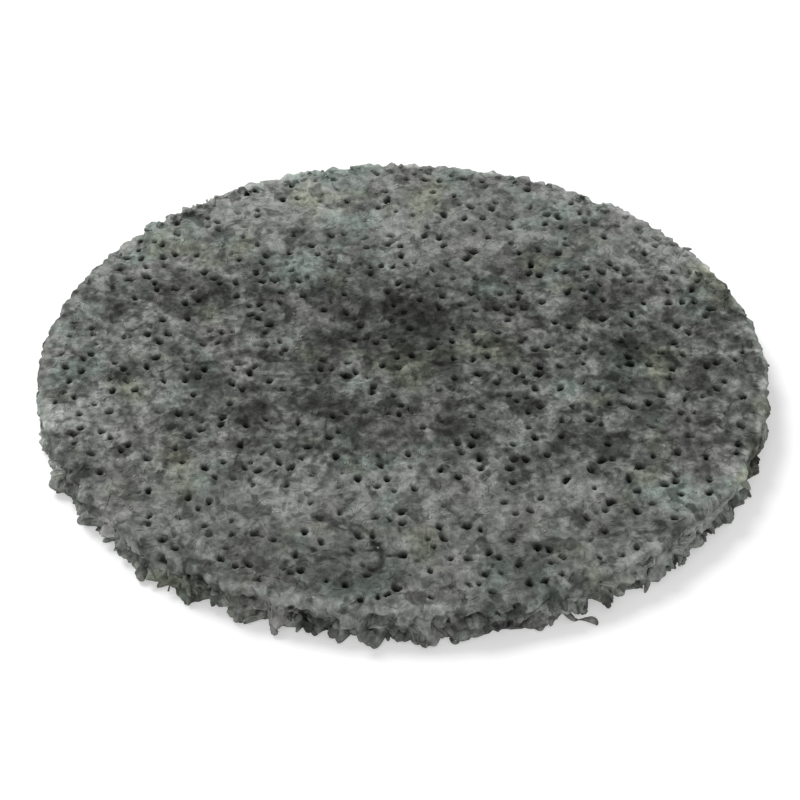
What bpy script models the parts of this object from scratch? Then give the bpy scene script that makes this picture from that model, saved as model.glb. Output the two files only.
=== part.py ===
"""A surface conditioning disc: a round pad die-cut from thick non-woven abrasive web.

The web is one needled and resin-bonded mat, so the disc is one solid. Its working face is
pitted where the needles went through and swells a little between the pits. The cut edge is
rounded at the face and ragged towards the back, with tufts of fibre standing out of it. The
back is flat, to lie on a back-up pad. The origin is the middle of the back, and +Z points out
of the working face.
"""

import math
import random

import bmesh
import bpy
from mathutils import Matrix, Vector, noise

# The disc, in metres
DISC_DIAMETER = 0.115
WEB_THICKNESS = 0.0064

# The needle pits in the working face, one to each square of the given side on average
PIT_SQUARE = 0.0041
PIT_SPACING = 0.0016
PIT_WIDTH = 0.0011
PIT_DEPTH = 0.0014
PIT_RIM_MARGIN = 0.0008
PIT_SIDES = 6

# The slow swells of the face
SWELL_HEIGHT = 0.00030
SWELL_LENGTH = 0.0085

# The cut edge
EDGE_ROUND = 0.0008
EDGE_ROUND_STEPS = 2
RIM_FACET = 0.0016
WALL_ROWS = 4
PLY_THICKNESS = 0.0013
RAG_DEPTH = 0.0013
RAG_LENGTH = 0.0030
RAG_AT_FACE = 0.28
RAG_INWARD = 0.30

# The scuffed place low on the edge, where fibres have been pulled out
SCUFF_ANGLE = math.radians(-60)
SCUFF_WIDTH = 0.0060
SCUFF_DEPTH = 0.0009

# The tufts of fibre that stand out of the edge
TUFT_SPACING = 0.0048
TUFT_LENGTH = 0.0011
TUFT_TIP_SHARE = 0.42
TUFT_LEAN = 0.0005

WEB_COLOUR = (0.128, 0.133, 0.125, 1.0)
WEB_ROUGHNESS = 0.92
RANDOM_SEED = 7

CUT_RADIUS = DISC_DIAMETER / 2
FACE_RADIUS = CUT_RADIUS - EDGE_ROUND
RIM_COUNT = round(math.pi * DISC_DIAMETER / RIM_FACET)


def clear_scene():
    for old in list(bpy.data.objects):
        bpy.data.objects.remove(old, do_unlink=True)


def web_material():
    """Grey nylon fibre, bonded with resin and fine mineral: dull all over."""
    material = bpy.data.materials.new("abrasive_web")
    material.use_nodes = True
    shader = material.node_tree.nodes["Principled BSDF"]
    shader.inputs["Base Color"].default_value = WEB_COLOUR
    shader.inputs["Roughness"].default_value = WEB_ROUGHNESS
    shader.inputs["Metallic"].default_value = 0.0
    return material


def face_height(x, y):
    """How high the working face stands over the back at this place."""
    place = Vector((x, y, 0.0)) / SWELL_LENGTH
    return WEB_THICKNESS + SWELL_HEIGHT * noise.noise(place)


def pit_centres(rng):
    """Places of the needle pits: scattered at random, but no two of them closer than the spacing."""
    reach = FACE_RADIUS - PIT_RIM_MARGIN - PIT_WIDTH / 2
    spacing = max(PIT_SPACING, PIT_WIDTH * 1.3)
    wanted = round(math.pi * reach**2 / PIT_SQUARE**2)
    centres = []
    for _ in range(wanted * 20):
        turn = rng.uniform(0, math.tau)
        out = reach * math.sqrt(rng.random())
        x, y = out * math.cos(turn), out * math.sin(turn)
        is_clear = all(math.hypot(x - px, y - py) > spacing for px, py in centres)
        if is_clear:
            centres.append((x, y))
        if len(centres) == wanted:
            break
    return centres


def add_pits(bm, rng):
    """Each pit is a cone standing on its tip, open at the face."""
    for x, y in pit_centres(rng):
        width = PIT_WIDTH * rng.uniform(0.75, 1.15)
        depth = PIT_DEPTH * rng.uniform(0.70, 1.10)
        place = Matrix.Translation((x, y, -depth / 2))
        turn = Matrix.Rotation(rng.uniform(0, math.tau), 4, "Z")
        bmesh.ops.create_cone(
            bm,
            cap_ends=False,
            segments=PIT_SIDES,
            radius1=0.0,
            radius2=width / 2,
            depth=depth,
            matrix=place @ turn,
        )
    bmesh.ops.remove_doubles(bm, verts=bm.verts[:], dist=PIT_WIDTH * 0.01)


def add_face(bm, rng):
    """Fills the working face between its rim and the mouths of the pits, and lets it swell."""
    add_pits(bm, rng)
    bmesh.ops.create_circle(bm, segments=RIM_COUNT, radius=FACE_RADIUS)
    mouths_and_rim = [edge for edge in bm.edges if len(edge.link_faces) < 2 and is_level(edge)]
    bmesh.ops.triangle_fill(bm, edges=mouths_and_rim, use_beauty=True, normal=(0, 0, 1))
    for vertex in bm.verts:
        vertex.co.z += face_height(vertex.co.x, vertex.co.y)


def is_level(edge):
    """Whether an edge lies in the face before it is raised, as a pit's mouth and the rim do."""
    return all(abs(vertex.co.z) < PIT_DEPTH * 0.01 for vertex in edge.verts)


def wall_rings():
    """(inset from the cut radius, depth under the face) of each ring from the face to the back."""
    rings = []
    for step in range(1, EDGE_ROUND_STEPS + 1):
        turn = math.pi / 2 * step / EDGE_ROUND_STEPS
        inset = EDGE_ROUND * (1 - math.sin(turn))
        rings.append((inset, EDGE_ROUND * (1 - math.cos(turn))))
    wall_height = WEB_THICKNESS - EDGE_ROUND
    for row in range(1, WALL_ROWS + 1):
        rings.append((0.0, EDGE_ROUND + wall_height * row / WALL_ROWS))
    return rings


def rag(angle, depth):
    """How far the cut edge is off its circle, mostly inwards, at an angle and a depth."""
    place = Vector((math.cos(angle), math.sin(angle), 0.0)) * CUT_RADIUS / RAG_LENGTH
    place.z = depth / PLY_THICKNESS
    low = depth / WEB_THICKNESS
    strength = RAG_DEPTH * (RAG_AT_FACE + (1 - RAG_AT_FACE) * low)
    off_scuff = (angle - SCUFF_ANGLE + math.pi) % math.tau - math.pi
    along = off_scuff * CUT_RADIUS / (SCUFF_WIDTH / 2)
    scuff = SCUFF_DEPTH * math.exp(-(along**2)) * low**2
    return strength * (noise.noise(place) - RAG_INWARD) - scuff


def add_wall(bm):
    """Extrudes the face's rim down, ring by ring, to the back, and closes the back."""
    ring = [edge for edge in bm.edges if edge.is_boundary]
    for inset, depth in wall_rings():
        made = bmesh.ops.extrude_edge_only(bm, edges=ring)["geom"]
        vertices = [item for item in made if isinstance(item, bmesh.types.BMVert)]
        for vertex in vertices:
            angle = math.atan2(vertex.co.y, vertex.co.x)
            radius = CUT_RADIUS - inset + rag(angle, depth)
            top = face_height(FACE_RADIUS * math.cos(angle), FACE_RADIUS * math.sin(angle))
            height = top * (1 - depth / WEB_THICKNESS)
            vertex.co = (radius * math.cos(angle), radius * math.sin(angle), height)
        ring = [
            item
            for item in made
            if isinstance(item, bmesh.types.BMEdge) and item.is_boundary
        ]
    bmesh.ops.edgenet_fill(bm, edges=ring)


def tuft_faces(bm, rng):
    """The wall's facets that carry a tuft: one or more facets apart round the edge, at any row."""
    wall_height = WEB_THICKNESS - EDGE_ROUND
    row_height = wall_height / WALL_ROWS
    columns = [[] for _ in range(RIM_COUNT)]
    for face in bm.faces:
        centre = face.calc_center_median()
        on_wall = centre.xy.length > FACE_RADIUS and len(face.verts) == 4
        if on_wall and row_height * 0.2 < centre.z < wall_height:
            share = math.atan2(centre.y, centre.x) / math.tau
            columns[math.floor(share * RIM_COUNT) % RIM_COUNT].append(face)
    chosen = []
    column = 0
    while column < RIM_COUNT - 1:
        rows = sorted(columns[column], key=lambda face: face.calc_center_median().z)
        if rows:
            pick = math.floor(rng.random() ** 1.6 * len(rows))
            chosen.append(rows[pick])
        step = TUFT_SPACING / RIM_FACET * rng.uniform(0.6, 1.4)
        column += max(2, round(step))
    return chosen


def add_tufts(bm, rng):
    """Draws facets of the wall out into short tapering tufts."""
    drawn = bmesh.ops.extrude_discrete_faces(bm, faces=tuft_faces(bm, rng))["faces"]
    for face in drawn:
        centre = face.calc_center_median()
        outward = Vector((centre.x, centre.y, 0.0)).normalized()
        sideways = outward.cross(Vector((0.0, 0.0, 1.0)))
        lean = sideways * rng.uniform(-1, 1) * TUFT_LEAN
        tip = centre + outward * TUFT_LENGTH * rng.uniform(0.4, 1.0) + lean
        for vertex in face.verts:
            vertex.co = tip + (vertex.co - centre) * TUFT_TIP_SHARE


def conditioning_disc():
    """The whole disc, as one closed mesh."""
    rng = random.Random(RANDOM_SEED)
    bm = bmesh.new()
    add_face(bm, rng)
    add_wall(bm)
    add_tufts(bm, rng)
    bmesh.ops.recalc_face_normals(bm, faces=bm.faces[:])
    mesh = bpy.data.meshes.new("conditioning_disc")
    bm.to_mesh(mesh)
    bm.free()
    mesh.shade_smooth()
    mesh.set_sharp_from_angle(angle=math.radians(50))
    mesh.materials.append(web_material())
    return bpy.data.objects.new("conditioning_disc", mesh)


def main():
    clear_scene()
    parts = bpy.data.collections.new("surface_conditioning_disc")
    bpy.context.scene.collection.children.link(parts)
    parts.objects.link(conditioning_disc())


main()
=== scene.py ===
"""A surface conditioning disc of grey non-woven web, dressed for its picture.

The web's body, with its needle pits and ragged cut edge, stands for the solid of the frame. Loose
fibres lie matted over its face, its edge and its back, and a woven scrim strengthens the back.
All sizes are in metres. The origin is the middle of the back, and +Z points out of the working
face.
"""

import math
import random

import bpy
import numpy as np
from bpy.props import FloatProperty, FloatVectorProperty, IntProperty, PointerProperty
from mathutils import Euler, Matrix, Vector, noise
from mathutils.bvhtree import BVHTree
from mathutils.kdtree import KDTree


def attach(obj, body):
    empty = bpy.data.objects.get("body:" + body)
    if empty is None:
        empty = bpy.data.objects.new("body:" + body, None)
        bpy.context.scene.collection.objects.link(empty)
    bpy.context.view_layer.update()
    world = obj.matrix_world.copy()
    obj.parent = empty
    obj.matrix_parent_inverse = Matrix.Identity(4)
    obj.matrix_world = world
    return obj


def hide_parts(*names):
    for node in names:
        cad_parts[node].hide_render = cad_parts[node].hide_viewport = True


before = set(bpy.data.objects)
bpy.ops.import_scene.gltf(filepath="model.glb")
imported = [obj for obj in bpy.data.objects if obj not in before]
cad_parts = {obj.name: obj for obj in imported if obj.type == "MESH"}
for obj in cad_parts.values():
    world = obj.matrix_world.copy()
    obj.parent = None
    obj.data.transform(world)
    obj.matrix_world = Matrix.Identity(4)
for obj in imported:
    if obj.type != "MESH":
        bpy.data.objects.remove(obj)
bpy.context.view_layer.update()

bl_info = {
    "name": "Surface Conditioning Disc",
    "version": (1, 0, 0),
    "blender": (4, 5, 0),
    "location": "3D View > Sidebar > Conditioning Disc",
    "description": "Makes a non-woven surface conditioning disc, piece by piece",
    "category": "Object",
}

BODY = "root"
SOLID = "conditioning_disc"

# What the part's own source says of its form, repeated here so that both forms agree
DISC_DIAMETER = 0.115
WEB_THICKNESS = 0.0064
CUT_RADIUS = DISC_DIAMETER / 2
PIT_SQUARE = 0.0041
PIT_SPACING = 0.0016
PIT_WIDTH = 0.0011
PIT_DEPTH = 0.0014
PIT_RIM_MARGIN = 0.0008
PIT_SEED = 7
SWELL_HEIGHT = 0.00030
SWELL_LENGTH = 0.0085
EDGE_ROUND = 0.0008
FACE_RADIUS = CUT_RADIUS - EDGE_ROUND
PLY_THICKNESS = 0.0013
RAG_DEPTH = 0.0013
RAG_LENGTH = 0.0030
RAG_AT_FACE = 0.28
RAG_INWARD = 0.30
SCUFF_ANGLE = math.radians(-60)
SCUFF_WIDTH = 0.0060
SCUFF_DEPTH = 0.0009


class DiscForm(bpy.types.PropertyGroup):
    """Sizes of the web's body."""

    grain: FloatProperty(
        name="Grain",
        description="Spacing of the body's points before they are thinned",
        default=0.00032,
        unit="LENGTH",
    )
    body_triangles: IntProperty(
        name="Body triangles",
        description="How many triangles the body keeps",
        default=196000,
    )
    nap_height: FloatProperty(
        name="Nap height",
        description="Height of the matted lumps of the face",
        default=0.00020,
        unit="LENGTH",
    )
    frass_depth: FloatProperty(
        name="Wall roughness",
        description="Depth of the lumps of the cut edge",
        default=0.0013,
        unit="LENGTH",
    )
    back_recess: FloatProperty(
        name="Back recess",
        description="How far the web stands back from the scrim's underside",
        default=0.00036,
        unit="LENGTH",
    )


class FibreForm(bpy.types.PropertyGroup):
    """Sizes and counts of the loose fibres."""

    radius: FloatProperty(
        name="Fibre radius",
        description="Radius of a coated fibre",
        default=0.00016,
        unit="LENGTH",
    )
    face_count: IntProperty(
        name="Face fibres",
        description="Fibres in each layer over the face",
        default=1250,
    )
    edge_count: IntProperty(
        name="Edge fibres",
        description="Fibres matted over the cut edge",
        default=900,
    )
    end_count: IntProperty(
        name="Loose ends",
        description="Tufts, knobs and hooks that stand out of the cut edge",
        default=190,
    )
    back_count: IntProperty(
        name="Back fibres",
        description="Fibres that come through the scrim",
        default=1300,
    )


class WebLook(bpy.types.PropertyGroup):
    """Colours of the web."""

    grey: FloatVectorProperty(
        name="Web grey",
        description="Middle tone of the web",
        default=(0.226, 0.236, 0.221),
        size=3,
        subtype="COLOR",
        min=0.0,
        max=1.0,
    )
    pale: FloatVectorProperty(
        name="Pale fibre",
        description="Tone of fibres with little coating",
        default=(0.278, 0.290, 0.272),
        size=3,
        subtype="COLOR",
        min=0.0,
        max=1.0,
    )
    dark: FloatVectorProperty(
        name="Dark fibre",
        description="Tone of deep, heavily coated fibres",
        default=(0.188, 0.196, 0.184),
        size=3,
        subtype="COLOR",
        min=0.0,
        max=1.0,
    )
    fleck: FloatVectorProperty(
        name="Resin fleck",
        description="Tone of the pale crumbs of resin",
        default=(0.37, 0.38, 0.36),
        size=3,
        subtype="COLOR",
        min=0.0,
        max=1.0,
    )


class StageForm(bpy.types.PropertyGroup):
    """Camera, lights and floor."""

    distance: FloatProperty(
        name="Camera distance",
        description="From the camera to the middle of the back",
        default=0.4853,
        unit="LENGTH",
    )
    elevation: FloatProperty(
        name="Camera elevation",
        description="Angle of the view above the floor",
        default=math.radians(38.2),
        subtype="ANGLE",
    )
    roll: FloatProperty(
        name="Camera roll",
        description="Turn of the camera about its own axis",
        default=math.radians(0.282),
        subtype="ANGLE",
    )
    lens: FloatProperty(
        name="Lens",
        description="Focal length in millimetres, on a sensor 36 mm wide",
        default=137.5,
    )
    sky: FloatProperty(
        name="Sky light",
        description="Strength of the even light from all round",
        default=0.50,
    )
    key: FloatProperty(
        name="Key light",
        description="Strength of the soft lamp behind the disc",
        default=1.95,
    )
    fill: FloatProperty(
        name="Fill light",
        description="Strength of the weak lamp in front of the disc",
        default=0.50,
    )


def deselect_all():
    if bpy.context.object and bpy.context.object.mode != "OBJECT":
        bpy.ops.object.mode_set(mode="OBJECT")
    bpy.ops.object.select_all(action="DESELECT")


def only(piece):
    """Selects one piece alone and makes it active."""
    deselect_all()
    piece.select_set(True)
    bpy.context.view_layer.objects.active = piece
    return piece


def settle(piece, name, materials):
    """Names a finished piece, puts its place into its mesh, and gives it its materials and body."""
    only(piece)
    bpy.ops.object.transform_apply(location=True, rotation=True, scale=True)
    piece.name = name
    piece.data.name = name
    bpy.ops.object.shade_smooth()
    piece.data.materials.clear()
    for material in materials:
        piece.data.materials.append(material)
    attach(piece, BODY)
    return piece


def apply_modifier(piece, kind, **settings):
    only(piece)
    modifier = piece.modifiers.new(kind.title(), kind)
    for name, value in settings.items():
        setattr(modifier, name, value)
    bpy.ops.object.modifier_apply(modifier=modifier.name)


def read_points(mesh):
    places = np.empty(len(mesh.vertices) * 3, dtype=np.float32)
    mesh.vertices.foreach_get("co", places)
    return places.reshape(-1, 3).astype(float)


def write_points(mesh, places):
    mesh.vertices.foreach_set("co", places.astype(np.float32).ravel())
    mesh.update()


def ease(value):
    """0 below 0, 1 above 1, and a smooth step between."""
    value = np.clip(value, 0.0, 1.0)
    return value * value * (3 - 2 * value)


def field(places, length, seed=0.0):
    """Smooth noise from -1 to 1 at each place, with bumps of the given length."""
    scaled = places / length + seed
    return np.array([noise.noise(place) for place in scaled.tolist()])


# The form of the web


def swell(x, y):
    return SWELL_HEIGHT * noise.noise(Vector((x, y, 0.0)) / SWELL_LENGTH)


def rag(angle, depth):
    """How far the cut edge is off its circle, mostly inwards, at an angle and a depth."""
    place = Vector((math.cos(angle), math.sin(angle), 0.0)) * CUT_RADIUS / RAG_LENGTH
    place.z = depth / PLY_THICKNESS
    low = depth / WEB_THICKNESS
    strength = RAG_DEPTH * (RAG_AT_FACE + (1 - RAG_AT_FACE) * low)
    off_scuff = (angle - SCUFF_ANGLE + math.pi) % math.tau - math.pi
    along = off_scuff * CUT_RADIUS / (SCUFF_WIDTH / 2)
    scuff = SCUFF_DEPTH * math.exp(-(along**2)) * low**2
    return strength * (noise.noise(place) - RAG_INWARD) - scuff


def solid_pits():
    """The pits of the solid, as (x, y, width, depth), drawn in the same order as in its source."""
    rng = random.Random(PIT_SEED)
    reach = FACE_RADIUS - PIT_RIM_MARGIN - PIT_WIDTH / 2
    spacing = max(PIT_SPACING, PIT_WIDTH * 1.3)
    wanted = round(math.pi * reach**2 / PIT_SQUARE**2)
    centres = []
    for _ in range(wanted * 20):
        turn = rng.uniform(0, math.tau)
        out = reach * math.sqrt(rng.random())
        x, y = out * math.cos(turn), out * math.sin(turn)
        if all(math.hypot(x - px, y - py) > spacing for px, py in centres):
            centres.append((x, y))
        if len(centres) == wanted:
            break
    pits = []
    for x, y in centres:
        width = PIT_WIDTH * rng.uniform(0.75, 1.15)
        depth = PIT_DEPTH * rng.uniform(0.70, 1.10)
        rng.uniform(0, math.tau)
        pits.append((x, y, width, depth))
    return pits


def small_pits(rng, count):
    """Shallower holes between the fibres, at random places of the face."""
    pits = []
    while len(pits) < count:
        radius = (FACE_RADIUS - 0.001) * math.sqrt(rng.random())
        turn = rng.uniform(0, math.tau)
        width = rng.uniform(0.00045, 0.0010)
        depth = width * rng.uniform(0.5, 0.9)
        pits.append((radius * math.cos(turn), radius * math.sin(turn), width, depth))
    return pits


# The web was laid along Y, so its marks are a little longer that way
WEB_RUN = 0.82

# How much of the needled pits is open, how much painted shade open and closed ones get, and how
# deep the closed ones are beside the open ones
SMALL_PITS = 150
OPEN_SHARE = 0.78
OPEN_SHADE = (0.84, 1.0)
CLOSED_SHADE = (0.35, 0.72)
CLOSED_DEPTH = 0.55

# Where a pit's hollow and its painted shade begin, and how far they grow, in its own radii
HOLLOW_FROM, HOLLOW_OVER = 1.20, 0.85
SHADE_FROM, SHADE_OVER = 1.42, 0.92


class Pits:
    """All holes of the face, how deep they press it, and the painted shade they give it."""

    def __init__(self):
        rng = random.Random(21)
        needled = solid_pits()
        self.holes = needled + small_pits(rng, SMALL_PITS)
        self.shapes = []
        for index in range(len(self.holes)):
            is_open = index < len(needled) and rng.random() < OPEN_SHARE
            turn = rng.gauss(0, 1.1)
            stretch = rng.uniform(1.0, 1.45)
            dark = rng.uniform(*(OPEN_SHADE if is_open else CLOSED_SHADE))
            self.shapes.append((is_open, turn, stretch, dark))
        self.tree = KDTree(len(self.holes))
        for index, hole in enumerate(self.holes):
            self.tree.insert((hole[0], hole[1], 0.0), index)
        self.tree.balance()

    def reach(self, x, y, index):
        """Distance from a hole's middle, in its own radii: each hole is drawn out and uneven."""
        hx, hy, width, _ = self.holes[index]
        _, turn, stretch, _ = self.shapes[index]
        dx, dy = x - hx, (y - hy) * WEB_RUN
        along = dx * math.cos(turn) + dy * math.sin(turn)
        across = dy * math.cos(turn) - dx * math.sin(turn)
        uneven = 1 + 0.45 * noise.noise((x * 1700, y * 1700, index * 3.7))
        return math.hypot(along / stretch, across * 1.1) / (width / 2) * uneven

    def at(self, x, y):
        """(how far the face is pressed in, how dark its painted shade is) at this place."""
        depth, dark = 0.0, 0.0
        for _, index, _ in self.tree.find_n((x, y, 0.0), 3):
            out = self.reach(x, y, index)
            is_open, _, _, strength = self.shapes[index]
            inside = min(1.0, max(0.0, HOLLOW_FROM - out) / HOLLOW_OVER)
            press = self.holes[index][3] * inside * inside * (3 - 2 * inside)
            depth = max(depth, press if is_open else CLOSED_DEPTH * press)
            pit_shade = min(1.0, max(0.0, SHADE_FROM - out) / SHADE_OVER)
            dark = max(dark, strength * pit_shade)
        return depth, dark

    def covers(self, x, y, share):
        """Whether this place is within a share of the radius of an open hole."""
        for _, index, _ in self.tree.find_n((x, y, 0.0), 2):
            if self.shapes[index][0] and self.reach(x, y, index) < share:
                return True
        return False


PITS = Pits()


# The lines of the crease in the near part of the face: (width, least strength, places)
CREASE = (
    (0.0015, 0.25, ((-0.014, -0.0436), (-0.0105, -0.0449), (-0.0072, -0.0452), (-0.004, -0.0438))),
    (0.0022, 1.00, ((-0.0042, -0.0424), (-0.0031, -0.044), (-0.0029, -0.047), (-0.0042, -0.0486))),
    (0.0013, 0.25, ((-0.003, -0.0452), (0.0, -0.045))),
)
CREASE_MIDDLE = (-0.007, -0.0455)
CREASE_REACH = (0.009, 0.006)
CREASE_DEPTH = 0.00022
# How dark the crease's painted shade is at its strongest
CREASE_SHADE = 0.74
CREASE_WANDER = 0.0005


def off_line(x, y, line):
    """Distance from a place to a line of straight stretches."""
    best = 1.0
    for (ax, ay), (bx, by) in zip(line, line[1:]):
        dx, dy = bx - ax, by - ay
        share = ((x - ax) * dx + (y - ay) * dy) / (dx * dx + dy * dy)
        share = min(1.0, max(0.0, share))
        best = min(best, math.hypot(x - ax - share * dx, y - ay - share * dy))
    return best


def crease_at(x, y):
    """How strongly the crease marks this place, from 0 to 1."""
    if abs(x - CREASE_MIDDLE[0]) > CREASE_REACH[0] or abs(y - CREASE_MIDDLE[1]) > CREASE_REACH[1]:
        return 0.0
    wander = CREASE_WANDER * noise.noise((x * 900, y * 900, 3.0))
    kept = 0.75 + 1.6 * noise.noise((x * 430, y * 430, 9.0))
    strength = 0.0
    for width, least, line in CREASE:
        near = 1 - (off_line(x, y, line) + wander) / (width / 2)
        strength = max(strength, min(1.0, max(least, kept)) * min(1.0, 1.25 * max(0.0, near)))
    return strength


def blank_round(grain):
    """A plain round of web: its face edge is rounded, and its points lie evenly."""
    deselect_all()
    bpy.ops.mesh.primitive_cylinder_add(
        vertices=360,
        radius=CUT_RADIUS,
        depth=WEB_THICKNESS,
        end_fill_type="NGON",
        location=(0, 0, WEB_THICKNESS / 2),
    )
    blank = bpy.context.object
    bpy.ops.object.transform_apply(location=True)
    bpy.ops.object.mode_set(mode="EDIT")
    bpy.ops.mesh.select_all(action="DESELECT")
    bpy.ops.object.mode_set(mode="OBJECT")
    places = read_points(blank.data)
    is_top = places[:, 2] > WEB_THICKNESS * 0.9
    for edge in blank.data.edges:
        edge.select = bool(is_top[edge.vertices[0]] and is_top[edge.vertices[1]])
    bpy.ops.object.mode_set(mode="EDIT")
    bpy.ops.mesh.select_mode(type="EDGE")
    bpy.ops.mesh.bevel(offset=EDGE_ROUND, segments=5, profile=0.5)
    bpy.ops.object.mode_set(mode="OBJECT")
    apply_modifier(blank, "REMESH", mode="VOXEL", voxel_size=grain)
    return blank


# Where the lumps of the cut edge are coarsest, and how far the rim's small bumps stand out
COARSEST_ANGLE = math.radians(-135)
RIM_BUMP = 0.00050

# How far in from the cut edge its lumps reach, and how dark the painted shade in its recesses is
RAGGED_ZONE = 0.0035
RECESS_SHADE = 0.84

# How far the web stands off the floor at the rim of its back, outside the scrim
BACK_RIM_RECESS = 0.00012
SCRIM_MARGIN = 0.0030


def clumps_at(places):
    """The lumps of the cut edge: 0 in the clefts between them, about 1 at their middles."""
    radius = np.maximum(np.hypot(places[:, 0], places[:, 1]), 0.001)
    spots = places * 1.3
    spots[:, 0] = places[:, 0] / radius * CUT_RADIUS
    spots[:, 1] = places[:, 1] / radius * CUT_RADIUS
    return 2.3 * np.abs(field(spots, 0.0031, 5.3)) + 0.8 * np.abs(field(spots, 0.0013, 1.9))


def shape_web(mesh, form):
    """Gives the blank its swells, its matted lumps, its pits, its crease and its ragged edge."""
    places = read_points(mesh)
    x, y, z = places.T
    radius = np.hypot(x, y)
    angle = np.arctan2(y, x)
    high = np.clip(z / WEB_THICKNESS, 0.0, 1.0)
    near_rim = ease((radius - (CUT_RADIUS - RAGGED_ZONE)) / 0.0030)
    on_face = ease((z - (WEB_THICKNESS - 0.0006)) / 0.0005) * (1 - near_rim)

    swells = np.array([swell(px, py) for px, py in zip(x.tolist(), y.tolist())])
    lumps = 0.75 * field(places, 0.0011, 3.1) + 0.25 * field(places, 0.00055, 8.7)
    rags = np.array(
        [rag(a, max(0.0, WEB_THICKNESS - h)) for a, h in zip(angle.tolist(), z.tolist())]
    )
    nearness = ease((-0.12 - np.sin(angle)) / 0.30)
    rearness = ease((np.sin(angle) - 0.30) / 0.35)
    uneven = 0.55 + nearness * (0.60 + 0.48 * np.cos(angle - COARSEST_ANGLE)) + 0.62 * rearness
    at_rim = 0.30 + 0.30 * rearness
    ragged = form.frass_depth * uneven * (clumps_at(places) - 0.95)
    ragged *= at_rim + (1 - at_rim) * (1 - high)
    ragged += RIM_BUMP * high * (1 + 1.2 * rearness) * field(places, 0.0013, 4.6)

    pressed = np.zeros(len(places))
    for index in np.flatnonzero(on_face > 0.02).tolist():
        px, py = places[index, 0], places[index, 1]
        depth, _ = PITS.at(px, py)
        depth = max(depth, CREASE_DEPTH * crease_at(px, py))
        pressed[index] = depth * on_face[index]

    out = near_rim * (rags + ragged)
    places[:, 0] += np.cos(angle) * out
    places[:, 1] += np.sin(angle) * out
    places[:, 2] += swells * high + form.nap_height * lumps * high - pressed
    inside = 1 - ease((radius - (CUT_RADIUS - SCRIM_MARGIN)) / 0.0015)
    recess = BACK_RIM_RECESS + (form.back_recess - BACK_RIM_RECESS) * inside
    recess *= 1 + 0.5 * lumps
    is_back = z < BACK_RIM_RECESS
    places[:, 2] = np.where(is_back, recess, places[:, 2])
    write_points(mesh, places)


def mark_painted_shade(mesh):
    """Writes each point's painted shade, in a pit, the crease or a recess of the cut edge."""
    places = read_points(mesh)
    radius = np.hypot(places[:, 0], places[:, 1])
    is_face = (places[:, 2] > WEB_THICKNESS * 0.55) & (radius < FACE_RADIUS)
    is_edge = (places[:, 2] > 0.0003) & (radius > CUT_RADIUS - 0.0045)
    under = 1 - ease((places[:, 2] - (WEB_THICKNESS - 0.0016)) / 0.0012)
    # Painted shade in the clefts between the lumps, low on the cut edge
    clefts = ease((0.60 - clumps_at(places)) / 0.42)
    clefts *= ease(0.45 + 1.8 * field(places, 0.0026, 7.7))
    marks = np.where(is_edge, RECESS_SHADE * under * clefts, 0.0)
    for index in np.flatnonzero(is_face).tolist():
        px, py = places[index, 0], places[index, 1]
        _, dark = PITS.at(px, py)
        marks[index] = max(marks[index], dark, CREASE_SHADE * crease_at(px, py))
    # The attribute named depth holds this painted shade, not a depth
    depth = mesh.attributes.new("depth", "FLOAT", "POINT")
    depth.data.foreach_set("value", marks.astype(np.float32))


def make_web_body(context):
    form = context.scene.disc_form
    body = blank_round(form.grain)
    shape_web(body.data, form)
    triangles = sum(len(face.vertices) - 2 for face in body.data.polygons)
    if triangles > form.body_triangles:
        apply_modifier(body, "DECIMATE", ratio=form.body_triangles / triangles)
    mark_painted_shade(body.data)
    settle(body, "web_body", [web_material(context)])
    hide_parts(SOLID)


# The fibres


class Ground:
    """The web's surface, found along lines from outside."""

    def __init__(self):
        body = bpy.data.objects["web_body"]
        self.tree = BVHTree.FromPolygons(
            [vertex.co.copy() for vertex in body.data.vertices],
            [tuple(face.vertices) for face in body.data.polygons],
        )

    def face(self, x, y):
        hit, _, _, _ = self.tree.ray_cast(Vector((x, y, 0.02)), Vector((0, 0, -1)))
        return hit.z if hit else WEB_THICKNESS

    def back(self, x, y):
        hit, _, _, _ = self.tree.ray_cast(Vector((x, y, -0.01)), Vector((0, 0, 1)))
        return hit.z if hit else 0.0

    def edge(self, angle, rise):
        """(place, way out) of the cut edge, at an angle round it and a height over the back."""
        outward = Vector((math.cos(angle), math.sin(angle), 0.0))
        spine = outward * (CUT_RADIUS - 0.004)
        over = max(0.0, rise - (WEB_THICKNESS - 0.0015))
        tilt = min(1.0, over / 0.0025) * math.pi / 2
        middle = spine + Vector((0, 0, min(rise, WEB_THICKNESS - 0.0015)))
        way = outward * math.cos(tilt) + Vector((0, 0, math.sin(tilt)))
        hit, _, _, _ = self.tree.ray_cast(middle + way * 0.02, -way)
        return (hit or middle + way * 0.003), way


def curling_walk(rng, start, count, step, curl):
    """Points of a fibre that curls about in a plane, with the way it bends changing as it goes."""
    x, y = start
    heading = rng.uniform(0, math.tau)
    bend = rng.gauss(0, curl)
    walk = [(x, y)]
    for _ in range(count - 1):
        bend = 0.72 * bend + rng.gauss(0, curl * 0.62)
        heading += bend * step
        x += step * math.cos(heading)
        y += step * math.sin(heading)
        walk.append((x, y))
    return walk


def lift_along(rng, count, high, deep):
    """How high each point of a fibre stands over the web: its ends dive in, its middle rises."""
    peak = rng.uniform(0.3, 0.7)
    lifts = []
    for index in range(count):
        share = index / (count - 1)
        arch = math.sin(math.pi * (share ** (math.log(0.5) / math.log(peak))))
        lifts.append(-deep + (high + deep) * arch**0.6 + rng.gauss(0, deep * 0.03))
    return lifts


FIBRE_STEP = 0.00046
FACE_CURL = 620
EDGE_CURL = 520


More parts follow.
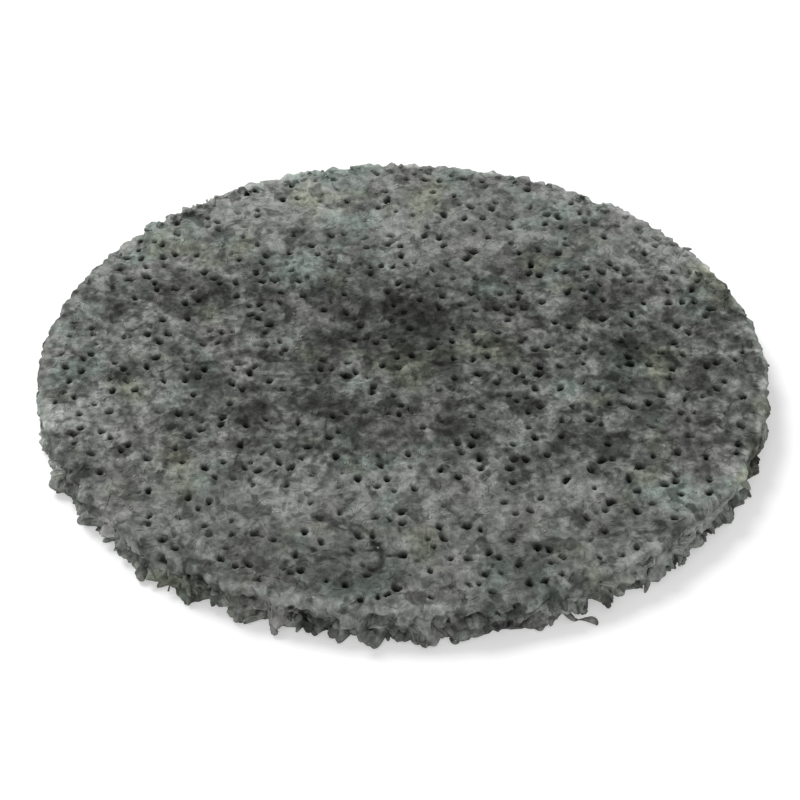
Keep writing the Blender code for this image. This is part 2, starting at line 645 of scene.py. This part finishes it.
def face_fibres(rng, ground, count, radius, high, share, length):
    """Fibres over the face, as lists of (place, radius)."""
    fibres = []
    while len(fibres) < count:
        out = (FACE_RADIUS + 0.0003) * math.sqrt(rng.random())
        turn = rng.uniform(0, math.tau)
        points = max(4, round(rng.uniform(*length) / FIBRE_STEP))
        curl = FACE_CURL * rng.uniform(0.6, 1.6)
        start = (out * math.cos(turn), out * math.sin(turn))
        walk = curling_walk(rng, start, points, FIBRE_STEP, curl)
        if any(math.hypot(x, y) > FACE_RADIUS + 0.0004 for x, y in walk):
            continue
        if any(PITS.covers(x, y, share) or crease_at(x, y) > 0.6 for x, y in walk):
            continue
        thick = radius * rng.uniform(0.75, 1.35)
        lifts = lift_along(rng, points, high, thick * 1.6)
        heights = [ground.face(x, y) for x, y in walk]
        level = sum(heights) / points
        fibre = []
        for (x, y), height, lift in zip(walk, heights, lifts):
            height = max(height, level - 0.00015)
            fibre.append(((x, y, height + lift), thick))
        fibres.append(fibre)
    return fibres


def edge_fibres(rng, ground, count, radius):
    """Fibres matted over the cut edge; one that would span a cleft is left out."""
    fibres = []
    for _ in range(count):
        points = rng.randint(6, 10)
        curl = EDGE_CURL * rng.uniform(0.5, 1.6)
        rise = (WEB_THICKNESS + 0.0006) * rng.uniform(0.03, 1.0)
        walk = curling_walk(rng, (0.0, rise), points, FIBRE_STEP, curl)
        around = rng.uniform(0, math.tau)
        thick = radius * rng.uniform(0.8, 1.5)
        lifts = lift_along(rng, points, radius * 0.1, thick * 1.6)
        fibre = []
        for (along, height), lift in zip(walk, lifts):
            height = min(max(height, thick), WEB_THICKNESS + 0.0009)
            place, way = ground.edge(around + along / CUT_RADIUS, height)
            place = place + way * lift
            place.z = max(place.z, thick)
            fibre.append((tuple(place), thick))
        longest = max(math.dist(start[0], end[0]) for start, end in zip(fibre, fibre[1:]))
        if longest < 2.2 * FIBRE_STEP:
            fibres.append(fibre)
    return fibres


# The kinds of loose end, spurs, knobs, lumps and hooks: (share of them at the left, share at the
# right, radius at the root, radius at the tip, how far they reach out, whether they turn back)
END_KINDS = (
    (0.24, 0.77, (0.00055, 0.00085), (0.00018, 0.00026), (0.0008, 0.0014), False),
    (0.36, 0.16, (0.00026, 0.00040), (0.00042, 0.00062), (0.0006, 0.0012), False),
    (0.34, 0.05, (0.00075, 0.00115), (0.00055, 0.00085), (0.0004, 0.0009), False),
    (0.06, 0.02, (0.00022, 0.00030), (0.00022, 0.00030), (0.0009, 0.0014), True),
)
END_POINTS = 7

# Loose ends at the rear are smaller, and there are few of them at its flanks
REAR_FROM = -0.30
FLANK_FROM = 0.86
FLANK_SKIPPED = 0.7
REAR_THICKNESS = 0.75
REAR_REACH = 0.55
HOOK_HALF_WIDTH = 0.00060


def loose_ends(rng, ground, count):
    """Spurs, knobs, lumps and hooks of resin-stiff fibre that stand out of the cut edge."""
    fibres = []
    while len(fibres) < count:
        around = rng.uniform(-math.pi, math.pi)
        side = 0 if math.cos(around) < 0 else 1
        kind = rng.choices(END_KINDS, [kind[side] for kind in END_KINDS])[0]
        roots, tips, reaches, is_loop = kind[2:]
        is_rear = math.sin(around) > REAR_FROM
        is_flank = is_rear and abs(math.cos(around)) > FLANK_FROM
        if is_flank and rng.random() < FLANK_SKIPPED:
            continue
        if is_rear:
            high = rng.uniform(0.88, 1.0) if rng.random() < 0.6 else rng.uniform(0.10, 0.88)
        else:
            high = 0.05 + 0.60 * rng.random() ** 1.7
        place, _ = ground.edge(around, WEB_THICKNESS * high)
        outward = Vector((math.cos(around), math.sin(around), 0.0))
        sideways = Vector((-outward.y, outward.x, 0.0))
        root, tip = rng.uniform(*roots), rng.uniform(*tips)
        reach = rng.uniform(*reaches)
        if is_rear:
            root, tip, reach = root * REAR_THICKNESS, tip * REAR_THICKNESS, reach * REAR_REACH
        drift = reach * (rng.gauss(0, 0.45) - 0.75 * math.cos(around))
        fall = reach * rng.uniform(-0.6, 0.2)
        fibre = []
        for step in range(END_POINTS):
            share = step / (END_POINTS - 1)
            thick = (root + (tip - root) * share) * rng.uniform(0.85, 1.18)
            if is_loop:
                out = reach * math.sin(math.pi * share) - 0.0003
                along = math.copysign(HOOK_HALF_WIDTH, drift) * math.cos(math.pi * share)
                along += drift * share * 0.5
                drop = fall * math.sin(math.pi * share)
            else:
                out = reach * share - 0.0005 * (1 - share)
                along = drift * share**1.6
                drop = fall * share**2
                thick *= 0.6 if step == END_POINTS - 1 else 1.0
            spot = place + outward * out + sideways * along
            spot.z = max(spot.z + drop, thick * 1.05)
            fibre.append((tuple(spot), thick))
        fibres.append(fibre)
    return fibres


def back_fibres(rng, ground, count, radius):
    """Short fibres that come through the scrim and lie on the back."""
    fibres = []
    step = 0.0005
    while len(fibres) < count:
        out = (CUT_RADIUS - 0.0022) * math.sqrt(rng.random())
        turn = rng.uniform(0, math.tau)
        points = rng.randint(4, 7)
        start = (out * math.cos(turn), out * math.sin(turn))
        walk = curling_walk(rng, start, points, step, 700)
        thick = radius * rng.uniform(0.6, 0.95)
        lifts = lift_along(rng, points, thick * 0.8, thick * 1.5)
        fibre = []
        for (x, y), lift in zip(walk, lifts):
            height = max(ground.back(x, y) - lift, thick)
            fibre.append(((x, y, height), thick))
        fibres.append(fibre)
    return fibres


def strand_profile(sides):
    """The fibres' cross-section: a closed curve of unit radius with a few straight sides."""
    curve = bpy.data.curves.new("strand_profile", "CURVE")
    curve.dimensions = "2D"
    spline = curve.splines.new("POLY")
    spline.points.add(sides - 1)
    for index, point in enumerate(spline.points):
        turn = math.tau * index / sides
        point.co = (math.cos(turn), math.sin(turn), 0.0, 1.0)
    spline.use_cyclic_u = True
    profile = bpy.data.objects.new("strand_profile", curve)
    bpy.context.scene.collection.objects.link(profile)
    return profile


def weave_tubes(name, fibres, sides=3):
    """Turns lists of (place, radius) into one mesh of closed thin tubes."""
    deselect_all()
    curve = bpy.data.curves.new(name, "CURVE")
    curve.dimensions = "3D"
    curve.bevel_mode = "OBJECT"
    profile = strand_profile(sides)
    curve.bevel_object = profile
    curve.use_fill_caps = True
    for fibre in fibres:
        spline = curve.splines.new("POLY")
        spline.points.add(len(fibre) - 1)
        places = [value for place, _ in fibre for value in (*place, 1.0)]
        spline.points.foreach_set("co", places)
        spline.points.foreach_set("radius", [radius for _, radius in fibre])
    piece = bpy.data.objects.new(name, curve)
    bpy.context.scene.collection.objects.link(piece)
    only(piece)
    bpy.ops.object.convert(target="MESH")
    piece = bpy.context.object
    bpy.data.objects.remove(profile, do_unlink=True)
    bpy.ops.object.mode_set(mode="EDIT")
    bpy.ops.mesh.select_all(action="SELECT")
    bpy.ops.mesh.normals_make_consistent(inside=False)
    bpy.ops.object.mode_set(mode="OBJECT")
    return piece


FACE_LAYERS = (
    # (piece, look, seed, height in radii, pit cover share, length range)
    ("face_fibres_deep", "dark", 31, -0.45, 0.6, (0.0022, 0.0044)),
    ("face_fibres_mid", "grey", 32, -0.30, 0.8, (0.0022, 0.0046)),
    ("face_fibres_top", "pale", 33, -0.15, 1.0, (0.0020, 0.0044)),
)
FLECKS = 250
FLECK_WIDTHS = (0.5, 1.0, 1.1, 0.6)


def resin_flecks(rng, ground, count, radius):
    """Short pale crumbs of resin that sit on the fibres of the face."""
    flecks = []
    while len(flecks) < count:
        out = (FACE_RADIUS + 0.0003) * math.sqrt(rng.random())
        turn = rng.uniform(0, math.tau)
        start = (out * math.cos(turn), out * math.sin(turn))
        walk = curling_walk(rng, start, len(FLECK_WIDTHS), rng.uniform(0.00010, 0.00024), 900)
        if any(PITS.covers(x, y, 1.2) for x, y in walk):
            continue
        thick = radius * rng.uniform(0.7, 1.5)
        fleck = []
        for (x, y), width in zip(walk, FLECK_WIDTHS):
            fleck.append(((x, y, ground.face(x, y) + thick * 0.35), thick * width))
        flecks.append(fleck)
    return flecks


def make_face_fibres(context):
    form = context.scene.fibre_form
    ground = Ground()
    for name, look, seed, high, share, length in FACE_LAYERS:
        rng = random.Random(seed)
        radius = form.radius
        fibres = face_fibres(rng, ground, form.face_count, radius, high * radius, share, length)
        piece = weave_tubes(name, fibres, 4)
        mark_painted_shade(piece.data)
        settle(piece, name, [fibre_material(context, look)])
    flecks = resin_flecks(random.Random(34), ground, FLECKS, form.radius)
    settle(weave_tubes("face_flecks", flecks, 5), "face_flecks", [fibre_material(context, "fleck")])


def make_edge_fibres(context):
    form = context.scene.fibre_form
    ground = Ground()
    rng = random.Random(41)
    for look in ("dark", "pale"):
        matted = edge_fibres(rng, ground, form.edge_count // 2, form.radius)
        name = "edge_fibres_" + look
        piece = weave_tubes(name, matted, 4)
        mark_painted_shade(piece.data)
        settle(piece, name, [fibre_material(context, look)])
    ends = loose_ends(rng, ground, form.end_count)
    piece = weave_tubes("edge_loose_ends", ends, 6)
    settle(piece, "edge_loose_ends", [fibre_material(context, "dark")])


# The tuft that a fine fibre still holds at the scuffed place, from a knob of the edge outwards:
# (x, y, radius)
TUFT = (
    (0.02450, -0.05240, 0.00036),
    (0.02505, -0.05235, 0.00022),
    (0.02560, -0.05215, 0.00006),
    (0.02585, -0.05212, 0.00007),
    (0.02635, -0.05218, 0.00015),
    (0.02690, -0.05234, 0.00027),
    (0.02745, -0.05258, 0.00037),
    (0.02795, -0.05285, 0.00040),
    (0.02832, -0.05315, 0.00028),
)
TUFT_ROOT_ANGLE = math.radians(-65.5)
TUFT_ROOT_RISE = 0.0007
TUFT_STATIONS = 24


def make_scuff_tuft(context):
    rng = random.Random(51)
    root, _ = Ground().edge(TUFT_ROOT_ANGLE, TUFT_ROOT_RISE)
    inward = root * (1 - 0.0004 / CUT_RADIUS)
    line = ((inward.x, inward.y, 0.00042), (root.x, root.y, 0.00042), *TUFT)
    stations = np.linspace(0, len(line) - 1, TUFT_STATIONS)
    spine = [np.interp(stations, range(len(line)), values).tolist() for values in zip(*line)]
    rises = np.interp(stations, (0, 1, 3), (TUFT_ROOT_RISE, TUFT_ROOT_RISE, 0.0)).tolist()
    fibres = []
    for share in (1.0, 0.75, 0.6, 0.6):
        fibre = []
        shift = (rng.gauss(0, 0.6) * (1 - share), rng.gauss(0, 1.8) * (1 - share))
        for x, y, radius, rise in zip(*spine, rises):
            thick = radius * share * rng.uniform(0.88, 1.12)
            place = (x + shift[0] * radius, y + shift[1] * radius, rise + thick * 1.02)
            fibre.append((place, thick))
        fibres.append(fibre)
    piece = weave_tubes("scuff_tuft", fibres, 10)
    settle(piece, "scuff_tuft", [fibre_material(context, "dark")])


# The back


SCRIM_PITCH = 0.0030
SCRIM_YARN = 0.00020


def scrim_yarns():
    """Yarns of an open plain weave, both ways across the back."""
    reach = CUT_RADIUS - 0.0012
    lines = math.floor(reach / SCRIM_PITCH)
    yarns = []
    for way in (0, 1):
        for line in range(-lines, lines + 1):
            across = line * SCRIM_PITCH
            half = math.sqrt(max(0.0, reach**2 - across**2))
            crossings = math.floor(half / SCRIM_PITCH)
            if crossings < 1:
                continue
            yarn = []
            for step in range(-2 * crossings, 2 * crossings + 1):
                along = step * SCRIM_PITCH / 2
                over = math.cos(math.pi * (step / 2 + line + way))
                height = SCRIM_YARN * (1.25 + (0.35 * over if step % 2 == 0 else 0.0))
                wander = 0.00018 * noise.noise((along * 220, across * 340, way * 7.0))
                spot = (along, across + wander) if way == 0 else (across + wander, along)
                yarn.append(((*spot, height), SCRIM_YARN))
            yarns.append(yarn)
    return yarns


def make_back(context):
    form = context.scene.fibre_form
    piece = weave_tubes("back_scrim", scrim_yarns())
    settle(piece, "back_scrim", [fibre_material(context, "fleck")])
    ground = Ground()
    rng = random.Random(61)
    piece = weave_tubes("back_fibres", back_fibres(rng, ground, form.back_count, form.radius))
    settle(piece, "back_fibres", [fibre_material(context, "dark")])


# The materials


class Recipe:
    """One procedural material, with short calls that add its nodes and join them."""

    def __init__(self, name):
        self.material = bpy.data.materials.new(name)
        self.material.use_nodes = True
        self.nodes = self.material.node_tree.nodes
        self.links = self.material.node_tree.links
        self.shader = self.nodes["Principled BSDF"]
        self.place = self.nodes.new("ShaderNodeTexCoord").outputs["Object"]

    def add(self, kind, inputs, **settings):
        node = self.nodes.new("ShaderNode" + kind)
        for name, value in settings.items():
            setattr(node, name, value)
        for key, value in inputs.items():
            if isinstance(value, bpy.types.NodeSocket):
                self.links.new(value, node.inputs[key])
            else:
                node.inputs[key].default_value = value
        return node

    def shifted(self, seed):
        away = (seed, seed * 0.7, seed * 1.3)
        node = self.add("Mapping", {"Vector": self.place, "Location": away})
        node.inputs["Scale"].default_value = (1.0, WEB_RUN, 1.0)
        return node.outputs[0]

    def cloud(self, size, detail=2.0, seed=0.0, distortion=0.0):
        """Noise with lumps of the given size in metres, about 0 to 1."""
        node = self.add(
            "TexNoise",
            {
                "Vector": self.shifted(seed),
                "Scale": 1 / size,
                "Detail": detail,
                "Roughness": 0.55,
                "Distortion": distortion,
            },
        )
        return node.outputs["Fac"]

    def sum(self, first, second):
        return self.math("ADD", first, second)

    def product(self, first, *others):
        for other in others:
            first = self.math("MULTIPLY", first, other)
        return first

    def math(self, operation, first, second=0.0):
        return self.add("Math", {0: first, 1: second}, operation=operation).outputs[0]

    def range(self, value, low, high, to_low=0.0, to_high=1.0):
        node = self.add(
            "MapRange",
            {"Value": value, 1: low, 2: high, 3: to_low, 4: to_high},
            interpolation_type="SMOOTHSTEP",
        )
        return node.outputs["Result"]

    def line(self, size, width, seed, detail=1.0):
        """Thin curling lines, 1 on the line and 0 off it."""
        off = self.math("ABSOLUTE", self.math("SUBTRACT", self.cloud(size, detail, seed), 0.5))
        return self.range(off, 0.0, width, 1.0, 0.0)

    def mix(self, amount, first, second, blend="MIX"):
        node = self.add("Mix", {0: amount, 6: first, 7: second}, data_type="RGBA", blend_type=blend)
        return node.outputs[2]

    def scale(self, colour, factor):
        node = self.add("VectorMath", {0: colour, "Scale": factor}, operation="SCALE")
        return node.outputs[0]

    def xyz(self):
        return self.add("SeparateXYZ", {0: self.place}).outputs


def four(colour):
    return (*colour, 1.0)


# The slow patches of tint: (size, seed, range of the noise, strength, factors on red, green, blue)
TINTS = (
    (0.011, 1.7, (0.50, 0.66), 0.80, (0.93, 1.07, 1.03)),
    (0.010, 5.1, (0.52, 0.68), 0.80, (1.07, 1.00, 1.06)),
    (0.012, 9.4, (0.53, 0.70), 0.75, (1.03, 1.05, 0.86)),
)


def tinted(recipe, base):
    """The base tone with the slow patches of tint that run through the whole disc."""
    colour = four(base)
    for size, seed, (low, high), strength, factors in TINTS:
        patch = recipe.range(recipe.cloud(size, 3.0, seed), low, high)
        tint = four([part * factor for part, factor in zip(base, factors)])
        colour = recipe.mix(recipe.product(patch, strength), colour, tint)
    return colour


# Light and dark patches of the web: (size, darkest, lightest, seed)
CLOUDS = (
    (0.012, 0.70, 1.20, 4.9),
    (0.0058, 0.61, 1.23, 7.1),
    (0.0027, 0.56, 1.22, 0.6),
    (0.0013, 0.56, 1.26, 6.2),
)
SPOT_SPACING = 0.0019
SPOT_STRENGTH = 0.50
CURL_STRENGTH = 0.34
GLARE_FROM = 1.05
GLARE_TAKEN = 0.42


def spotted(recipe):
    """Small soft dark spots, some stronger than others, and short dark curls between them."""
    place = recipe.shifted(4.4)
    spots = recipe.add("TexVoronoi", {"Vector": place, "Scale": 1 / SPOT_SPACING}).outputs
    soft = recipe.range(spots["Distance"], 0.10, 0.44, 1.0, 0.0)
    chance = recipe.add("SeparateXYZ", {0: spots["Color"]}).outputs[0]
    spot = recipe.product(soft, recipe.range(chance, 0.25, 1.0, 0.0, SPOT_STRENGTH))
    broken = recipe.range(recipe.cloud(0.0016, 1.0, 6.6), 0.48, 0.58)
    curl = recipe.product(recipe.line(0.0021, 0.050, 11.3), broken, CURL_STRENGTH)
    marks = recipe.math("MAXIMUM", spot, curl)
    return recipe.math("SUBTRACT", 1.0, marks)


def mottled(recipe, across):
    """Patches of every size, strongest across the middle, with dark blots and small spots."""
    tone = recipe.range(recipe.cloud(0.026, 2.0, 2.3), 0.3, 0.7, 0.84, 1.14)
    contrast = recipe.range(across, 0.018, 0.034, 1.10, 0.74)
    for size, dark, light, seed in CLOUDS:
        cloud = recipe.range(recipe.cloud(size, 2.0, seed), 0.28, 0.72, dark, light)
        tone = recipe.product(tone, recipe.math("POWER", cloud, contrast))
    blots = recipe.range(recipe.cloud(0.0034, 2.0, 3.9, 0.5), 0.37, 0.46, 0.50, 1.0)
    return recipe.product(tone, blots, spotted(recipe))


def worn_middle(recipe, x, across):
    """The middle of the face is rubbed darker, with darker marks in it."""
    middle = recipe.product(
        recipe.range(across, 0.018, 0.028, 1.0, 0.0),
        recipe.range(x, -0.050, -0.034),
    )
    marks = recipe.range(recipe.cloud(0.0075, 3.0, 7.7, 0.6), 0.50, 0.60)
    worn = recipe.sum(recipe.product(marks, 0.36), 0.23)
    return recipe.math("SUBTRACT", 1.0, recipe.product(worn, middle))


def broad_painted_light(recipe, x, y):
    """Slow painted light: paler to the rear, the left, the right rim and the rear corners."""
    leaning = recipe.sum(y, recipe.product(x, 0.06))
    off_middle = recipe.math("ABSOLUTE", recipe.sum(x, -0.004))
    corner = recipe.product(
        recipe.range(off_middle, 0.016, 0.040, 0.0, 0.34),
        recipe.range(y, 0.012, 0.034),
    )
    return recipe.product(
        recipe.range(leaning, 0.024, 0.054, 1.0, 1.52),
        # a little painted shade along the near edge
        recipe.range(y, -0.056, -0.040, 0.83, 0.95),
        recipe.range(x, -0.050, -0.026, 1.20, 1.0),
        recipe.range(x, 0.047, 0.056, 1.0, 1.50),
        recipe.sum(corner, 1.0),
    )


def edge_painted_light(recipe, x, y, z):
    """Painted light and shade of the cut edge, its recesses and the face's rim."""
    low = recipe.range(z, 0.0034, 0.0060, 1.0, 0.0)
    # Painted light on the near wall, and a little painted shade on the rear one
    wall = recipe.product(low, recipe.range(y, -0.035, 0.015, 0.95, -0.10))
    # Painted shade in recesses low on the wall
    recess = recipe.range(recipe.cloud(0.0028, 1.0, 12.1), 0.42, 0.51, -0.46, 0.0)
    flat = recipe.add("VectorMath", {0: recipe.place, 1: (1.0, 1.0, 0.0)}, operation="MULTIPLY")
    radius = recipe.add("VectorMath", {0: flat.outputs[0]}, operation="LENGTH").outputs["Value"]
    near_right = recipe.product(
        recipe.range(x, 0.002, 0.018, 0.0, -0.85),
        recipe.range(y, -0.044, -0.014, 1.0, 0.0),
    )
    # Painted highlight along the face's rim, kept off the left and held back at the near right
    rim = recipe.product(
        recipe.sum(recipe.range(x, -0.054, -0.010, 0.0, 1.20), near_right),
        recipe.range(radius, 0.0555, 0.0570),
        recipe.range(z, 0.0042, 0.0062),
        recipe.range(recipe.cloud(0.0040, 2.0, 8.1), 0.36, 0.60, 0.35, 1.0),
    )
    return recipe.product(
        recipe.sum(wall, 1.0),
        recipe.sum(recipe.product(low, recess), 1.0),
        recipe.sum(rim, 1.0),
    )


def patches_and_painted_light(recipe):
    """All differences of tone, painted light and shade too, as one factor, brightest held back."""
    x, y, z = recipe.xyz()
    across = recipe.math("ABSOLUTE", y)
    tone = recipe.product(
        mottled(recipe, across),
        worn_middle(recipe, x, across),
        broad_painted_light(recipe, x, y),
        edge_painted_light(recipe, x, y, z),
    )
    glare = recipe.math("MAXIMUM", recipe.math("SUBTRACT", tone, GLARE_FROM), 0.0)
    return recipe.math("SUBTRACT", tone, recipe.product(glare, GLARE_TAKEN))


def finish_web(recipe, colour, roughness=0.88):
    recipe.links.new(colour, recipe.shader.inputs["Base Color"])
    recipe.shader.inputs["Roughness"].default_value = roughness
    recipe.shader.inputs["Specular IOR Level"].default_value = 0.11
    return recipe.material


def web_material(context):
    """The matted web itself: mottled grey, with curling fibres in its colour and its relief."""
    look = context.scene.web_look
    recipe = Recipe("needled_web")
    colour = tinted(recipe, look.grey)
    grains = recipe.range(recipe.cloud(0.0005, 1.0, 3.3), 0.3, 0.7, 0.95, 1.05)
    wide_lines = recipe.line(0.0024, 0.060, 1.2)
    thin_lines = recipe.line(0.0014, 0.062, 8.8)
    lines = recipe.math("MAXIMUM", wide_lines, thin_lines)
    drawn = recipe.sum(recipe.product(lines, 0.24), 0.94)
    # The tone carries the painted light and shade, and the painted shade of the pits
    tone = recipe.product(grains, patches_and_painted_light(recipe), drawn, depth_shade(recipe))
    colour = recipe.scale(colour, tone)
    height = recipe.sum(recipe.product(lines, 0.6), grains)
    bump = recipe.add("Bump", {"Strength": 0.12, "Distance": 0.00010, "Height": height})
    recipe.links.new(bump.outputs[0], recipe.shader.inputs["Normal"])
    return finish_web(recipe, colour)


def depth_shade(recipe):
    """Painted shade in the pits, the crease and the recesses, as each point's mark says."""
    depth = recipe.add("Attribute", {}, attribute_name="depth").outputs["Fac"]
    return recipe.range(depth, 0.0, 0.97, 1.0, 0.015)


def fibre_material(context, look_name):
    """Coated fibre in one of the web's tones, with the web's painted light and shade."""
    name = look_name + "_fibre"
    if name in bpy.data.materials:
        return bpy.data.materials[name]
    look = context.scene.web_look
    recipe = Recipe(name)
    colour = tinted(recipe, getattr(look, look_name))
    tone = recipe.product(patches_and_painted_light(recipe), depth_shade(recipe))
    return finish_web(recipe, recipe.scale(colour, tone), 0.8)


def floor_material():
    """A white floor that keeps the disc's shadow and shows as pure white away from it."""
    recipe = Recipe("white_floor")
    recipe.shader.inputs["Base Color"].default_value = (0.80, 0.80, 0.80, 1.0)
    recipe.shader.inputs["Roughness"].default_value = 1.0
    recipe.shader.inputs["Specular IOR Level"].default_value = 0.0
    ray = recipe.add("LightPath", {})
    seen = recipe.math("MAXIMUM", ray.outputs["Is Camera Ray"], ray.outputs["Is Glossy Ray"])
    seen = recipe.math("MAXIMUM", seen, ray.outputs["Is Transmission Ray"])
    white = recipe.add("BsdfDiffuse", {"Color": (0.72, 0.72, 0.72, 1.0)})
    glow = recipe.add("Emission", {"Color": (1.0, 1.0, 1.0, 1.0), "Strength": 0.37})
    shown = recipe.add("AddShader", {0: white.outputs[0], 1: glow.outputs[0]})
    both = recipe.add("MixShader", {0: seen, 1: recipe.shader.outputs[0], 2: shown.outputs[0]})
    recipe.links.new(both.outputs[0], recipe.nodes["Material Output"].inputs["Surface"])
    return recipe.material


# The stage


# The camera looks at a place a little left of the disc's middle and under it
AIM_LEFT = 0.000460
AIM_UNDER = 0.00036

# Each lamp: the way to it, and how wide it is in degrees
KEY_WAY, KEY_SPREAD = (-3.7, 3.6, 6.2), 26
FILL_WAY, FILL_SPREAD = (-1.0, -5.0, 3.6), 40


def make_camera(form):
    bpy.ops.object.camera_add()
    camera = bpy.context.object
    camera.name = "camera"
    tilt = form.elevation
    back = Vector((0, -math.cos(tilt), math.sin(tilt)))
    upward = Vector((0, math.sin(tilt), math.cos(tilt)))
    aim = Vector((-AIM_LEFT, 0, 0)) - upward * AIM_UNDER
    camera.location = aim + back * form.distance
    turn = Euler((math.pi / 2 - tilt, 0, 0)).to_matrix() @ Euler((0, 0, form.roll)).to_matrix()
    camera.rotation_euler = turn.to_euler()
    camera.data.sensor_width = 36.0
    camera.data.lens = form.lens
    camera.data.clip_start = 0.01
    camera.data.clip_end = 10.0
    bpy.context.scene.camera = camera


def make_world(form):
    """Even white light from all round; what the camera sees of it is plain white."""
    world = bpy.data.worlds.new("sky")
    world.use_nodes = True
    nodes, links = world.node_tree.nodes, world.node_tree.links
    background = nodes["Background"]
    background.inputs["Color"].default_value = (1, 1, 1, 1)
    ray = nodes.new("ShaderNodeLightPath")
    strength = nodes.new("ShaderNodeMapRange")
    strength.inputs["To Min"].default_value = form.sky
    strength.inputs["To Max"].default_value = 1.0
    links.new(ray.outputs["Is Camera Ray"], strength.inputs["Value"])
    links.new(strength.outputs[0], background.inputs["Strength"])
    bpy.context.scene.world = world


def make_lamp(name, strength, way, spread):
    """A soft lamp far off in the given direction, as wide as the given angle in degrees."""
    bpy.ops.object.light_add(type="SUN")
    lamp = bpy.context.object
    lamp.name = name
    lamp.data.energy = strength
    lamp.data.angle = math.radians(spread)
    lamp.rotation_euler = Vector(way).to_track_quat("Z", "Y").to_euler()


def make_stage(context):
    form = context.scene.stage_form
    deselect_all()
    make_camera(form)
    make_world(form)
    make_lamp("key_lamp", form.key, KEY_WAY, KEY_SPREAD)
    make_lamp("fill_lamp", form.fill, FILL_WAY, FILL_SPREAD)
    deselect_all()
    bpy.ops.mesh.primitive_plane_add(size=6.0, location=(0, 0, -0.00005))
    floor = bpy.context.object
    floor.name = "floor"
    bpy.ops.object.transform_apply(location=True)
    floor.data.materials.append(floor_material())
    bpy.context.scene.view_settings.view_transform = "Standard"


class DISC_OT_stage(bpy.types.Operator):
    """Make the camera, the lights and the white floor."""

    bl_idname = "conditioning_disc.stage"
    bl_label = "Stage"

    def execute(self, context):
        make_stage(context)
        return {"FINISHED"}


class DISC_OT_web_body(bpy.types.Operator):
    """Make the body of the web, with its pits and its ragged edge."""

    bl_idname = "conditioning_disc.web_body"
    bl_label = "Web body"

    def execute(self, context):
        make_web_body(context)
        return {"FINISHED"}


class DISC_OT_face_fibres(bpy.types.Operator):
    """Lay fibres over the working face, in three layers."""

    bl_idname = "conditioning_disc.face_fibres"
    bl_label = "Face fibres"

    def execute(self, context):
        make_face_fibres(context)
        return {"FINISHED"}


class DISC_OT_edge_fibres(bpy.types.Operator):
    """Mat fibres over the cut edge and let ends and loops stand out of it."""

    bl_idname = "conditioning_disc.edge_fibres"
    bl_label = "Edge fibres"

    def execute(self, context):
        make_edge_fibres(context)
        return {"FINISHED"}


class DISC_OT_scuff_tuft(bpy.types.Operator):
    """Draw out the tuft that hangs by a fine fibre at the scuffed place."""

    bl_idname = "conditioning_disc.scuff_tuft"
    bl_label = "Scuff tuft"

    def execute(self, context):
        make_scuff_tuft(context)
        return {"FINISHED"}


class DISC_OT_back(bpy.types.Operator):
    """Weave the scrim of the back, with short fibres through it."""

    bl_idname = "conditioning_disc.back"
    bl_label = "Back"

    def execute(self, context):
        make_back(context)
        return {"FINISHED"}


class DISC_PT_panel(bpy.types.Panel):
    """Lists the pieces of the disc and their settings."""

    bl_idname = "DISC_PT_panel"
    bl_label = "Conditioning Disc"
    bl_space_type = "VIEW_3D"
    bl_region_type = "UI"
    bl_category = "Conditioning Disc"

    def draw(self, context):
        for operator in OPERATORS:
            self.layout.operator(operator.bl_idname)
        for name in GROUPS:
            box = self.layout.box()
            settings = getattr(context.scene, name)
            for key in settings.__annotations__:
                box.prop(settings, key)


GROUPS = {
    "disc_form": DiscForm,
    "fibre_form": FibreForm,
    "web_look": WebLook,
    "stage_form": StageForm,
}
OPERATORS = (
    DISC_OT_stage,
    DISC_OT_web_body,
    DISC_OT_face_fibres,
    DISC_OT_edge_fibres,
    DISC_OT_scuff_tuft,
    DISC_OT_back,
)


def register():
    for kind in (*GROUPS.values(), *OPERATORS, DISC_PT_panel):
        bpy.utils.register_class(kind)
    for name, kind in GROUPS.items():
        setattr(bpy.types.Scene, name, PointerProperty(type=kind))


def unregister():
    for name in GROUPS:
        delattr(bpy.types.Scene, name)
    for kind in reversed((*GROUPS.values(), *OPERATORS, DISC_PT_panel)):
        bpy.utils.unregister_class(kind)


def main():
    register()
    bpy.ops.conditioning_disc.stage()
    bpy.ops.conditioning_disc.web_body()
    bpy.ops.conditioning_disc.face_fibres()
    bpy.ops.conditioning_disc.edge_fibres()
    bpy.ops.conditioning_disc.scuff_tuft()
    bpy.ops.conditioning_disc.back()


if __name__ == "__main__":
    main()
